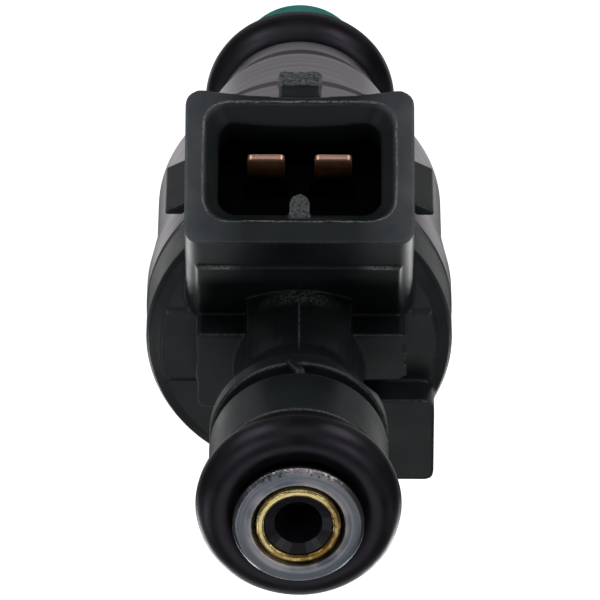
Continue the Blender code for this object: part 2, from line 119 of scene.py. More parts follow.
def make_camera():
    """Looks down on the inlet end and the socket, 30 degrees off the injector's axis, from far away."""
    tilt = math.radians(30)
    back = Vector((0.0, -math.sin(tilt), math.cos(tilt)))
    up = Vector((0.0, -math.cos(tilt), -math.sin(tilt)))
    right = Vector((-1.0, 0.0, 0.0))
    distance = 0.571
    target = Vector((0.0, 0.0, 0.0324))
    roll = math.radians(0.2)
    data = bpy.data.cameras.new("camera")
    data.lens = 450
    data.sensor_width = 36
    data.clip_start = 0.01
    data.shift_x = 0.8 / 600  # the nudge as a share of the picture's width
    camera = bpy.data.objects.new("camera", data)
    bpy.context.scene.collection.objects.link(camera)
    pose = Matrix((right, up, back)).transposed().to_4x4() @ Matrix.Rotation(roll, 4, "Z")
    pose.translation = target + back * distance
    camera.matrix_world = pose
    bpy.context.scene.camera = camera


def add_softbox(name, towards, size, radiance, distance=0.6):
    """A rectangular light that faces the injector from this direction. radiance is how bright it looks."""
    data = bpy.data.lights.new(name, "AREA")
    data.shape = "RECTANGLE"
    data.size, data.size_y = size
    data.energy = radiance * math.pi * size[0] * size[1]
    light = bpy.data.objects.new(name, data)
    bpy.context.scene.collection.objects.link(light)
    middle = Vector((0.0, -0.004, 0.035))
    aim = Vector(towards).normalized()
    light.location = middle + aim * distance
    light.rotation_euler = (-aim).to_track_quat("-Z", "Y").to_euler()


def make_studio():
    """A light tent: soft panels above, below and behind. Their directions are as seen from the injector."""
    scene = bpy.context.scene
    scene.view_settings.view_transform = "Standard"
    scene.world = bpy.data.worlds.new("studio")
    scene.world.use_nodes = True
    background = scene.world.node_tree.nodes["Background"]
    background.inputs["Color"].default_value = (1.0, 1.0, 1.0, 1.0)
    background.inputs["Strength"].default_value = 0.035
    for side, name, flank in ((1, "left", 0.90), (-1, "right", 0.75)):
        add_softbox(name + " upper panel", (0.53 * side, -0.30, 0.79), (0.22, 0.22), 2.0)
        add_softbox(name + " rear panel", (0.43 * side, 0.72, -0.52), (0.26, 0.24), 3.8)
        add_softbox(name + " flank panel", (0.46 * side, 0.24, -0.86), (0.22, 0.26), flank)
        add_softbox(name + " near front panel", (0.62 * side, -0.75, 0.16), (0.05, 0.07), 2.2, 0.12)
        add_softbox(name + " brow panel", (0.78 * side, 0.5, 0.36), (0.16, 0.20), 1.4 + 0.8 * side)
    add_softbox("front panel", (0.0, -0.94, 0.34), (0.30, 0.16), 0.45)
    add_softbox("front upper panel", (0.0, -0.77, 0.64), (0.26, 0.14), 0.8)
    add_softbox("low front panel", (0.0, -0.35, -0.94), (0.85, 0.40), 0.36)
    add_softbox("back panel", (0.0, 0.98, -0.17), (0.60, 0.20), 0.8)
    add_softbox("low back panel", (0.0, 0.75, -0.66), (0.30, 0.26), 1.2)
    add_softbox("top panel", (0.0, 0.5, 0.866), (0.40, 0.30), 0.75)

    make_floor()


def make_floor():
    """A pale floor that only the camera sees, so that the panels under it still light the injector."""
    scene = bpy.context.scene
    shape = bmesh.new()
    half = 1.5
    floor_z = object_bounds()[0][2]
    corners = rectangle(-half, half, -half, half)
    shape.faces.new([shape.verts.new((x, y, floor_z)) for x, y in corners])
    mesh = bpy.data.meshes.new("floor")
    shape.to_mesh(mesh)
    shape.free()
    floor = bpy.data.objects.new("floor", mesh)
    scene.collection.objects.link(floor)
    pale = bpy.data.materials.new("pale floor")
    pale.use_nodes = True
    shader = pale.node_tree.nodes["Principled BSDF"]
    shader.inputs["Base Color"].default_value = (0.8, 0.8, 0.8, 1.0)
    shader.inputs["Roughness"].default_value = 0.9
    shader.inputs["Emission Color"].default_value = (1.0, 1.0, 1.0, 1.0)
    shader.inputs["Emission Strength"].default_value = 1.0
    mesh.materials.append(pale)
    floor.visible_diffuse = False
    floor.visible_glossy = False
    floor.visible_shadow = False


# ---------------------------------------------------------------- material helpers

class Finish:
    """A node material that is written down as a few calls."""

    def __init__(self, name, colour, roughness, metallic=0.0, **sockets):
        self.material = bpy.data.materials.new(name)
        self.material.use_nodes = True
        self.tree = self.material.node_tree
        self.shader = self.tree.nodes["Principled BSDF"]
        self.set("Base Color", (*colour, 1.0))
        self.set("Roughness", roughness)
        self.set("Metallic", metallic)
        for socket, value in sockets.items():
            self.set(socket.replace("_", " "), value)

    def set(self, socket, value):
        """Sets or links one of the shader's sockets."""
        self.feed(self.shader.inputs[socket], value)

    def feed(self, socket, value):
        if isinstance(value, bpy.types.NodeSocket):
            self.tree.links.new(value, socket)
        else:
            socket.default_value = value

    def node(self, kind, values=(), output=0, **settings):
        """Adds a node, sets its settings and inputs, and returns one of its outputs."""
        node = self.tree.nodes.new(kind)
        for key, value in settings.items():
            setattr(node, key, value)
        for key, value in dict(values).items():
            self.feed(node.inputs[key], value)
        return node.outputs[output]

    def places(self):
        """Positions in the frame, in metres."""
        return self.node("ShaderNodeTexCoord", output="Object")

    def maths(self, operation, a, b=0.0, clamp=False):
        return self.node("ShaderNodeMath", {0: a, 1: b}, operation=operation, use_clamp=clamp)

    def stretched(self, scales, vector=None):
        """Positions scaled by a number of repeats per millimetre along each axis."""
        per_metre = tuple(scale / MM for scale in scales)
        return self.node("ShaderNodeVectorMath", {0: vector or self.places(), 1: per_metre},
                         operation="MULTIPLY")

    def lathe_places(self, across, along):
        """Coordinates that change quickly with radius and height, and slowly round the axis."""
        split = self.tree.nodes.new("ShaderNodeSeparateXYZ")
        self.feed(split.inputs[0], self.places())
        x, y, z = split.outputs
        square = self.maths("ADD", self.maths("MULTIPLY", x, x), self.maths("MULTIPLY", y, y))
        radius = self.maths("SQRT", square)
        fast = across / MM
        slow = along / MM
        return self.node("ShaderNodeCombineXYZ", {
            0: self.maths("ADD", self.maths("MULTIPLY", radius, fast), self.maths("MULTIPLY", z, fast)),
            1: self.maths("MULTIPLY", x, slow),
            2: self.maths("MULTIPLY", y, slow),
        })

    def along(self, direction, start=(0.0, 0.0, 0.0)):
        """Millimetres along a direction from a point above the datum."""
        from_frame = Vector((start[0], start[1], start[2] + DATUM_Z)) * MM
        offset = self.node("ShaderNodeVectorMath", {0: self.places(), 1: from_frame}, operation="SUBTRACT")
        return self.node("ShaderNodeVectorMath", {0: offset, 1: Vector(direction) / MM}, output=1,
                         operation="DOT_PRODUCT")

    def out_of_socket(self):
        return self.along(SOCKET_OUT, SOCKET_MOUTH)

    def inlet_side(self):
        """Millimetres from the socket's middle towards the inlet."""
        return self.along(-SOCKET_NOZZLE_SIDE, SOCKET_MOUTH)

    def from_rim(self):
        """Distance from the outline of the socket's mouth, negative inside the hollow."""
        across = self.along((1.0, 0.0, 0.0))
        middle = SOCKET_MOUTH + SOCKET_NOZZLE_SIDE * SOCKET_INNER_SHIFT
        towards_inlet = self.along(-SOCKET_NOZZLE_SIDE, middle)
        beyond = []
        for place, size in ((across, SOCKET_MOUTH_SIZE[0]), (towards_inlet, SOCKET_MOUTH_SIZE[1])):
            distance = self.maths("ABSOLUTE", place)
            beyond.append(self.maths("SUBTRACT", distance, size / 2 - SOCKET_CORNER_R))
        squares = []
        for distance in beyond:
            outside = self.maths("MAXIMUM", distance, 0.0)
            squares.append(self.maths("MULTIPLY", outside, outside))
        outside = self.maths("SQRT", self.maths("ADD", *squares))
        inside = self.maths("MINIMUM", self.maths("MAXIMUM", *beyond), 0.0)
        return self.maths("SUBTRACT", self.maths("ADD", outside, inside), SOCKET_CORNER_R)

    def round_axis(self):
        """Radius and height above the datum, in millimetres."""
        x, y, z = (self.along(direction) for direction in ((1, 0, 0), (0, 1, 0), (0, 0, 1)))
        square = self.maths("ADD", self.maths("MULTIPLY", x, x), self.maths("MULTIPLY", y, y))
        return self.maths("SQRT", square), z

    def ridge(self, value, middle, width):
        """1 where the value is at the middle, falling to 0 a width away."""
        away = self.maths("ABSOLUTE", self.maths("SUBTRACT", value, middle))
        return self.between(away, 0.3 * width, width, 1.0, 0.0)

    def noise(self, vector, scale=1.0, detail=3.0, roughness=0.55):
        return self.node("ShaderNodeTexNoise", {
            "Vector": vector, "Scale": scale, "Detail": detail, "Roughness": roughness})

    def between(self, value, low, high, to_low=0.0, to_high=1.0):
        """Maps low..high to to_low..to_high, clamped."""
        return self.node("ShaderNodeMapRange", {
            "Value": value, "From Min": low, "From Max": high, "To Min": to_low, "To Max": to_high})

    def blend(self, share, a, b):
        """A colour between a and b."""
        a, b = ((*c, 1.0) if isinstance(c, tuple) and len(c) == 3 else c for c in (a, b))
        return self.node("ShaderNodeMix", {0: share, 6: a, 7: b}, output=2, data_type="RGBA")

    def attribute(self, name):
        return self.node("ShaderNodeAttribute", output="Fac", attribute_name=name)

    def bump(self, height, depth_mm, strength=1.0, under=None):
        values = {"Height": height, "Distance": depth_mm * MM, "Strength": strength}
        if under:
            values["Normal"] = under
        return self.node("ShaderNodeBump", values)


# ---------------------------------------------------------------- materials

def moulding_plastic():
    """Satin black glass-filled plastic with a spark-eroded grain, scuffed pale along its knocked edges.
    It also carries painted light: painted shade in the socket's hollow and the gap behind the socket,
    a painted sheen on the sides of the mouth's face, and painted highlights along sharp edges and the pad's
    front edge.
    """
    f = Finish("moulding plastic", (0.03, 0.034, 0.04), 0.45)
    places = f.places()
    cloud = f.noise(f.stretched((0.35, 0.35, 0.35), places), detail=4.0)
    patch = f.noise(f.stretched((0.8, 0.8, 0.8), places), detail=3.0)
    grain = f.noise(f.stretched((5.0, 5.0, 5.0), places), detail=3.0, roughness=0.6)
    speck = f.noise(f.stretched((11.0, 11.0, 11.0), places), detail=2.0)
    base = f.blend(f.between(cloud, 0.3, 0.7), (0.011, 0.0165, 0.019), (0.018, 0.024, 0.027))
    base = f.blend(f.between(speck, 0.62, 0.80, 0.0, 0.30), base, (0.07, 0.085, 0.09))
    # painted shade: the "depth" mark darkens the colour and the gloss towards black in the socket's hollow
    # and in the gap behind the socket
    painted_shade = f.attribute("depth")
    base = f.blend(f.between(painted_shade, 0.12, 0.6), base, (0.002, 0.002, 0.002))
    f.set("Specular IOR Level", f.between(painted_shade, 0.12, 0.7, 0.5, 0.06))

    wander = f.between(patch, 0.3, 0.7, -0.09, 0.09)
    rim = f.maths("ADD", f.from_rim(), wander)
    out = f.out_of_socket()
    at_mouth = f.maths("MULTIPLY", f.between(out, -0.35, -0.15), f.between(out, 0.6, 0.3))
    on_rim = f.maths("MULTIPLY", f.ridge(rim, 0.03, 0.10), at_mouth)
    on_rim = f.maths("MULTIPLY", on_rim, f.between(patch, 0.36, 0.56, 0.15, 0.95))
    radius, height = f.round_axis()
    on_ring = f.maths("MULTIPLY", f.ridge(radius, SPIGOT_R, 0.12), f.ridge(height, RING_TOP_Z - 0.05, 0.16))
    on_ring = f.maths("MULTIPLY", on_ring, f.between(speck, 0.40, 0.62))
    across, back = f.along((1, 0, 0)), f.along((0, 1, 0))
    on_flange = f.maths("MULTIPLY", f.ridge(radius, FLANGE_R, 0.25), f.ridge(height, FLANGE_TOP_Z - 1.7, 0.9))
    on_flange = f.maths("MULTIPLY", on_flange, f.ridge(back, 0.3, 3.0))
    on_flange = f.maths("MULTIPLY", on_flange, f.between(grain, 0.50, 0.58))
    foot_top = f.ridge(height, BLOCK_TOP_Z + 0.3, 0.9)
    on_foot = f.maths("MULTIPLY", f.ridge(radius, FOOT_R - 0.15, 0.5), foot_top)
    on_foot = f.maths("MULTIPLY", on_foot, f.ridge(across, 0.0, 3.2))
    on_foot = f.maths("MULTIPLY", on_foot, f.between(grain, 0.40, 0.60, 0.0, 0.38))
    parting = f.maths("MULTIPLY", f.ridge(across, 0.0, 0.09), f.between(back, -4.0, -4.5, 0.0, 0.35))
    parting = f.maths("MULTIPLY", parting, f.between(back, -8.0, -7.0))
    parting = f.maths("MULTIPLY", parting, f.ridge(height, 45.5, 3.5))
    # painted highlight: a pale line along the raised pad's front edge, brightest towards its ends, standing
    # in for light catching that edge
    pad_side = f.ridge(f.inlet_side(), SOCKET_OUTER[1] / 2 + 0.3, 0.4)
    pad_edge_highlight = f.maths("MULTIPLY", f.ridge(out, -PAD_FRONT_DEPTH, 0.22), pad_side)
    pad_edge_highlight = f.maths("MULTIPLY", pad_edge_highlight, f.ridge(f.maths("ABSOLUTE", across), 6.0, 1.8))
    # worn mixes real scuffs with painted highlights: the sharp-edge share of "wear" and the pad's edge line
    # stand in for light catching edges
    worn = f.maths("MULTIPLY", f.attribute("wear"), f.between(grain, 0.36, 0.62), clamp=True)
    for share in (on_rim, on_ring, on_flange, on_foot, parting, pad_edge_highlight):
        worn = f.maths("MAXIMUM", worn, f.maths("MULTIPLY", share, f.between(grain, 0.34, 0.55)))
    # painted sheen: the mouth's face paler towards its sides, standing in for the side lights' reflection
    # there
    rim_side_sheen = f.maths("MULTIPLY", at_mouth, f.between(f.maths("ABSOLUTE", across), 4.0, 8.5))
    rim_side_sheen = f.maths("MULTIPLY", rim_side_sheen, f.between(cloud, 0.3, 0.7, 0.5, 1.0))
    base = f.blend(rim_side_sheen, base, (0.125, 0.137, 0.15))
    f.set("Base Color", f.blend(worn, base, (0.30, 0.31, 0.32)))
    rough = f.between(cloud, 0.3, 0.7, 0.36, 0.46)
    f.set("Roughness", f.maths("ADD", rough, f.maths("MULTIPLY", worn, 0.2)))
    f.set("Normal", f.bump(speck, 0.012, 0.5, under=f.bump(grain, 0.02, 0.55)))
    return f.material


def seal_rubber():
    """Oiled black rubber: soft purple-grey highlights and a few dust specks."""
    f = Finish("seal rubber", (0.012, 0.011, 0.013), 0.38, Specular_Tint=(0.86, 0.80, 1.0, 1.0))
    places = f.places()
    cloud = f.noise(f.stretched((0.5, 0.5, 0.5), places), detail=4.0)
    fine = f.noise(f.stretched((8.0, 8.0, 8.0), places), detail=2.0)
    dust = f.between(f.noise(f.stretched((6.5, 6.5, 6.5), places), detail=1.0), 0.76, 0.80, 0.0, 0.5)
    base = f.blend(f.between(cloud, 0.35, 0.65), (0.008, 0.0075, 0.009), (0.016, 0.015, 0.018))
    f.set("Base Color", f.blend(dust, base, (0.12, 0.11, 0.12)))
    f.set("Roughness", f.between(cloud, 0.3, 0.7, 0.32, 0.46))
    f.set("Normal", f.bump(fine, 0.006, 0.5))
    return f.material


def turned_metal(name, colours, roughness, grooves=0.35, depth=0.004, anisotropic=0.4, worn=None):
    """Metal with fine lathe lines that run round the injector's axis. colours: base, light, stained."""
    f = Finish(name, colours[0], roughness[0], 1.0, Anisotropic=anisotropic)
    coarse = f.noise(f.lathe_places(3.0, 0.05), detail=4.0, roughness=0.65)
    fine = f.noise(f.lathe_places(11.0, 0.12), detail=3.0, roughness=0.7)
    cloud = f.noise(f.stretched((0.3, 0.3, 0.3)), detail=5.0)
    base = f.blend(f.between(coarse, 0.32, 0.68), colours[0], colours[1])
    base = f.blend(f.between(cloud, 0.52, 0.75, 0.0, 0.5), base, colours[2])
    if worn:
        share = f.maths("MULTIPLY", f.attribute("wear"), f.between(cloud, 0.35, 0.55), clamp=True)
        base = f.blend(share, base, worn)
    f.set("Base Color", base)
    f.set("Roughness", f.between(fine, 0.3, 0.7, *roughness))
    f.set("Tangent", f.node("ShaderNodeTangent", direction_type="RADIAL", axis="Z"))
    f.set("Normal", f.bump(fine, depth, grooves, under=f.bump(coarse, depth * 0.8, grooves)))
    return f.material


def rolled_brass():
    """Bright brass, turning brown towards the back of the -X side."""
    f = Finish("ring brass", (0.9, 0.75, 0.35), 0.25, 0.85)
    cloud = f.noise(f.stretched((1.6, 1.6, 1.6)), detail=4.0)
    fine = f.noise(f.lathe_places(6.0, 0.6), detail=3.0)
    # browner towards the back of the -X side, along a noisy line
    toward_brown = f.maths("ADD", f.along((-0.6, 0.8, 0.0)), f.between(cloud, 0.3, 0.7, -1.6, 1.6))
    bright = f.blend(f.between(fine, 0.35, 0.65), (1.0, 0.84, 0.42), (0.92, 0.70, 0.26))
    f.set("Base Color", f.blend(f.between(toward_brown, -1.0, 2.6), bright, (0.30, 0.17, 0.04)))
    f.set("Roughness", f.between(cloud, 0.3, 0.7, 0.18, 0.32))
    f.set("Normal", f.bump(fine, 0.006, 0.5))
    return f.material


def plain_plastic(name, low, high, roughness=0.45):
    f = Finish(name, low, roughness)
    cloud = f.noise(f.stretched((0.6, 0.6, 0.6)), detail=4.0)
    fine = f.noise(f.stretched((7.0, 7.0, 7.0)), detail=2.0)
    f.set("Base Color", f.blend(f.between(cloud, 0.3, 0.7), low, high))
    f.set("Roughness", f.between(fine, 0.3, 0.7, roughness - 0.05, roughness + 0.06))
    f.set("Normal", f.bump(fine, 0.008, 0.4))
    return f.material


def contact_copper():
    """Dull copper alloy, bright where the tips are worn, with painted shade: darker and less glossy deeper in
    the socket.
    """
    f = Finish("contact copper", (0.30, 0.14, 0.08), 0.35, 0.6)
    streak = f.noise(f.stretched((9.0, 1.2, 1.2)), detail=3.0, roughness=0.6)
    cloud = f.noise(f.stretched((1.2, 1.2, 1.2)), detail=4.0)
    base = f.blend(f.between(cloud, 0.35, 0.65), (0.26, 0.11, 0.055), (0.42, 0.19, 0.10))
    # painted shade: darker and less glossy the deeper the blade lies in the socket
    painted_shade = f.attribute("depth")
    base = f.blend(painted_shade, base, (0.004, 0.003, 0.001))
    f.set("Base Color", f.blend(f.attribute("wear"), base, (0.95, 0.58, 0.44)))
    f.set("Specular IOR Level", f.between(painted_shade, 0.0, 1.0, 0.5, 0.05))
    f.set("Roughness", f.between(streak, 0.3, 0.7, 0.26, 0.42))
    f.set("Normal", f.bump(streak, 0.004, 0.4))
    return f.material


def wire_winding():
    """Enamelled copper wire laid round the bobbin in close turns."""
    f = Finish("wire winding", (0.5, 0.2, 0.09), 0.3, 1.0)
    wires = f.node("ShaderNodeTexWave", {"Vector": f.stretched((0.0, 0.0, 1.1)), "Scale": 1.0},
                   output="Fac", wave_type="BANDS", bands_direction="Z")
    f.set("Base Color", f.blend(wires, (0.22, 0.07, 0.03), (0.62, 0.27, 0.12)))
    f.set("Roughness", f.between(wires, 0.0, 1.0, 0.42, 0.26))
    f.set("Normal", f.bump(wires, 0.06, 0.8))
    return f.material


def strainer_gauze():
    """Fine woven nylon gauze."""
    f = Finish("strainer gauze", (0.45, 0.43, 0.38), 0.55)
    weave = f.node("ShaderNodeTexBrick", {
        "Vector": f.lathe_places(6.0, 6.0), "Scale": 4.0, "Mortar Size": 0.06,
        "Color1": (0.50, 0.48, 0.42, 1.0), "Color2": (0.42, 0.40, 0.35, 1.0),
        "Mortar": (0.10, 0.10, 0.09, 1.0),
    }, output="Color")
    f.set("Base Color", weave)
    f.set("Normal", f.bump(weave, 0.02, 0.7))
    return f.material


# ---------------------------------------------------------------- shape helpers

def fillet(corners, steps=5):
    """A closed outline from (u, v, radius) corners, each rounded off by about its radius."""
    points = []
    count = len(corners)
    for i, (u, v, radius) in enumerate(corners):
        here = Vector((u, v))
        before = Vector(corners[i - 1][:2]) - here
        after = Vector(corners[(i + 1) % count][:2]) - here
        if not radius:
            points.append((u, v))
            continue
        half = before.angle(after) / 2
        run = min(radius / math.tan(half), 0.49 * before.length, 0.49 * after.length)
        start, end = here + before.normalized() * run, here + after.normalized() * run
        for k in range(steps + 1):
            t = k / steps
            point = start * (1 - t) ** 2 + here * 2 * t * (1 - t) + end * t ** 2
            points.append((point.x, point.y))
    return points


def arc(centre, radius, start, end, steps):
    """Points on an arc, angles in degrees."""
    angles = [math.radians(start + (end - start) * i / steps) for i in range(steps + 1)]
    return [(centre[0] + radius * math.cos(a), centre[1] + radius * math.sin(a)) for a in angles]


def finished(name, mesh, material, body=BODY, replaces=()):
    """A piece of the object from a mesh in millimetres above the datum."""
    mesh.transform(Matrix.Scale(MM, 4) @ Matrix.Translation((0.0, 0.0, DATUM_Z)))
    mesh.materials.clear()
    mesh.materials.append(material)
    piece = bpy.data.objects.new(name, mesh)
    bpy.context.scene.collection.objects.link(piece)
    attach(piece, body)
    if replaces:
        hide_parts(*replaces)


def lathe_mesh(name, outline, segments=256, sharp=35):
    """A closed turned ring from an outline of (radius, height) points."""
    count = len(outline)
    radii = np.array([point[0] for point in outline])
    heights = np.array([point[1] for point in outline])
    turns = np.arange(segments) * 2 * math.pi / segments
    x = np.outer(np.cos(turns), radii)
    y = np.outer(np.sin(turns), radii)
    z = np.broadcast_to(heights, x.shape)
    points = np.stack((x, y, z), axis=-1).reshape(-1, 3)
    faces = []
    for i in range(segments):
        here, there = i * count, (i + 1) % segments * count
        for j in range(count):
            k = (j + 1) % count
            faces.append((here + j, there + j, there + k, here + k))
    mesh = bpy.data.meshes.new(name)
    mesh.from_pydata(points.tolist(), [], faces)
    fix_normals(mesh)
    mesh.shade_smooth()
    mesh.set_sharp_from_angle(angle=math.radians(sharp))
    return mesh


def fix_normals(mesh):
    shape = bmesh.new()
    shape.from_mesh(mesh)
    bmesh.ops.recalc_face_normals(shape, faces=shape.faces)
    shape.to_mesh(mesh)
    shape.free()


def positions(mesh):
    values = np.zeros(len(mesh.vertices) * 3)
    mesh.vertices.foreach_get("co", values)
    return values.reshape(-1, 3)


def directions(mesh):
    values = np.zeros(len(mesh.vertices) * 3)
    mesh.vertices.foreach_get("normal", values)
    return values.reshape(-1, 3)


def move_points(mesh, points):
    mesh.vertices.foreach_set("co", points.reshape(-1))
    mesh.update()


def mark(mesh, name, values):
    """A number from 0 to 1 at each vertex, which a material reads."""
    layer = mesh.attributes.new(name, "FLOAT", "POINT")
    layer.data.foreach_set("value", np.clip(values, 0.0, 1.0).astype(np.float32))


def rough_at(points, scale, where):
    """Smooth random numbers at the points where the mask holds, 0 elsewhere."""
    values = np.zeros(len(points))
    for i in np.nonzero(where)[0]:
        values[i] = noise.noise(Vector(points[i] * scale))
    return values


def sharpness(mesh):
    """How convex the surface is at each vertex, from 0 to 1, for worn edges and the painted edge highlights
    on them.
    """
    points, normals = positions(mesh), directions(mesh)
    pairs = np.zeros(len(mesh.edges) * 2, int)
    mesh.edges.foreach_get("vertices", pairs)
    a, b = pairs.reshape(-1, 2).T
    total, count = np.zeros_like(points), np.zeros(len(points))
    for here, there in ((a, b), (b, a)):
        for axis in range(3):
            total[:, axis] += np.bincount(here, points[there, axis], len(points))
        count += np.bincount(here, minlength=len(points))
    lag = total / np.maximum(count, 1)[:, None] - points
    return np.clip(-(lag * normals).sum(1) / 0.02 - 0.2, 0.0, 1.0)


def skin_over(shape, rings):
    """Closes a row of vertex rings into one skin, with a face over each end."""
    count = len(rings[0])
    for low, high in zip(rings, rings[1:]):
        for i in range(count):
            j = (i + 1) % count
            shape.faces.new((low[i], low[j], high[j], high[i]))
    shape.faces.new(rings[0])
    shape.faces.new(rings[-1])


def evaluated_mesh(temporary):
    """The temporary object's mesh with its modifiers applied."""
    graph = bpy.context.evaluated_depsgraph_get()
    return bpy.data.meshes.new_from_object(temporary.evaluated_get(graph))


# ---------------------------------------------------------------- turned pieces

def make_seals(rubber):
    """O-rings, each with the faint mould line that runs round its outside."""
    for node, height in (("nozzle_o_ring", NOZZLE_SEAL_Z), ("inlet_o_ring", INLET_SEAL_Z)):
        section = []
        steps = 72
        for k in range(steps):
            turn = 2 * math.pi * k / steps
            ridge = 0.018 * math.exp(-(math.sin(turn / 2) / 0.035) ** 2)
            radius = SEAL_SECTION_R + ridge
            section.append((SEAL_CENTRE_R + radius * math.cos(turn), height + radius * math.sin(turn)))
        mesh = lathe_mesh(node + "_ring", section, 220, sharp=180)
        points = positions(mesh)
        swell = rough_at(points, 0.22, np.ones(len(points), bool)) * 0.03
        move_points(mesh, points + directions(mesh) * swell[:, None])
        finished(node + "_ring", mesh, rubber, replaces=[node])


def make_inlet_tube(steel):
    """The fuel tube. Its lip is nicked along the connector side, where it has been knocked."""
    lip_r, lip_z = 4.78, INLET_TOP_Z - 0.23
    outline = fillet([
        (lip_r, lip_z, 0.06), (lip_r, 65.0, 0.05), (SEAL_LAND_R, 64.35, 0.1), (SEAL_LAND_R, 37.0, 0.0),
        (4.9, 36.0, 0.0), (4.9, 24.25, 0.1), (2.6, 24.25, 0.1), (2.6, 47.0, 0.0), (3.15, 47.5, 0.0),
        (3.15, INLET_TOP_Z - 0.5, 0.05), (3.43, INLET_TOP_Z, 0.07), (4.15, INLET_TOP_Z, 0.0),
        (4.55, INLET_TOP_Z, 0.06),
    ], steps=4)
    mesh = lathe_mesh("fuel_inlet_tube", outline, 420)
    points = positions(mesh)
    radius = np.hypot(points[:, 0], points[:, 1])
    angle = np.degrees(np.arctan2(points[:, 1], points[:, 0]))
    knocked = np.exp(-((angle + 84.0) / 48.0) ** 2)
    lip = np.exp(-((radius - 4.68) / 0.13) ** 2) * (points[:, 2] > 65.1)
    nicks = rough_at(points, 4.5, (lip > 0.05) & (knocked > 0.05))
    dents = rough_at(points, 11.0, (lip > 0.05) & (knocked > 0.05))
    depth = np.clip(nicks * 0.09 + dents * 0.07, -0.03, 0.06) * lip * knocked
    inward = points.copy()
    inward[:, :2] *= -1 / np.maximum(radius, 1e-6)[:, None]
    inward[:, 2] = -0.8
    move_points(mesh, points + inward * depth[:, None])
    bore_edge = np.exp(-((radius - 3.40) / 0.10) ** 2) * (points[:, 2] > 65.0)
    mark(mesh, "wear", lip * (0.25 + knocked) + 0.6 * bore_edge)
    finished("fuel_inlet_tube", mesh, steel, replaces=["inlet_tube"])


def make_filter_ring(brass):
    """The strainer's brass ring, rolled over at the top."""
    outline = fillet([
        (3.08, 60.5, 0.0), (2.52, 60.5, 0.0), (2.52, 65.60, 0.08), (2.66, 65.67, 0.15), (2.94, 65.67, 0.15),
        (3.08, 65.54, 0.10),
    ], steps=5)
    mesh = lathe_mesh("strainer_brass_ring", outline, 300)
    points = positions(mesh)
    top = points[:, 2] > 64.9
    dents = rough_at(points, 1.3, top) * 0.03 + rough_at(points, 4.0, top) * 0.012
    move_points(mesh, points + directions(mesh) * dents[:, None])
    finished("strainer_brass_ring", mesh, brass, replaces=["filter_ring"])


def make_valve_body(steel):
    """Nozzle collar and the land under the O-ring."""
    outline = fillet([
        (5.5, 12.3, 0.1), (5.5, 7.9, 0.0), (4.5, 7.9, 0.0), (4.5, 6.5, 0.0), (5.5, 6.5, 0.0), (5.5, 4.6, 0.0),
        (6.4, 4.6, 0.12), (6.4, 2.95, 0.12), (SEAL_LAND_R, 2.95, 0.1), (SEAL_LAND_R, -4.6, 0.15),
        (0.85, -4.6, 0.05), (0.85, -3.4, 0.0), (2.0, -2.2, 0.0), (2.0, 2.6, 0.0), (3.0, 3.6, 0.0),
        (3.0, 12.3, 0.1),
    ])
    mesh = lathe_mesh("nozzle_body", outline)
    finished("nozzle_body", mesh, steel, replaces=["valve_body"])


def make_pintle_cap(plastic):
    outline = fillet([
        (6.15, -1.65, 0.1), (6.15, -2.4, 0.15), (4.77, -2.6, 0.2), (4.77, -6.3, 0.1),
        (4.47, NOZZLE_TIP_Z, 0.1), (1.5, NOZZLE_TIP_Z, 0.1), (1.5, -4.75, 0.0), (3.95, -4.75, 0.0),
        (3.95, -1.65, 0.05),
    ])
    mesh = lathe_mesh("nozzle_cap", outline)
    finished("nozzle_cap", mesh, plastic, replaces=["pintle_cap"])


def make_housing(steel):
    """The steel can: a drawn cone and cylinder with a rolled rim, and a turned narrow end."""
    outline = fillet([
        (6.6, HOUSING_BOTTOM_Z, 0.15), (7.55, 7.2, 0.25), (7.55, 15.0, 0.5), (10.0, 15.9, 0.5),
        (10.95, 18.5, 0.8), (10.95, 26.9, 0.2), (11.1, 27.2, 0.3), (HOUSING_RIM_R, 31.5, 0.6),
        (HOUSING_RIM_R, HOUSING_TOP_Z, 0.25), (10.0, HOUSING_TOP_Z, 0.1), (10.0, 19.5, 0.2),
        (5.0, 19.5, 0.1), (5.0, 13.55, 0.0), (5.6, 13.55, 0.0), (5.6, HOUSING_BOTTOM_Z, 0.1),
    ])
    mesh = lathe_mesh("steel_housing", outline, 320)
    finished("steel_housing", mesh, steel, replaces=["valve_housing"])


# ---------------------------------------------------------------- terminals

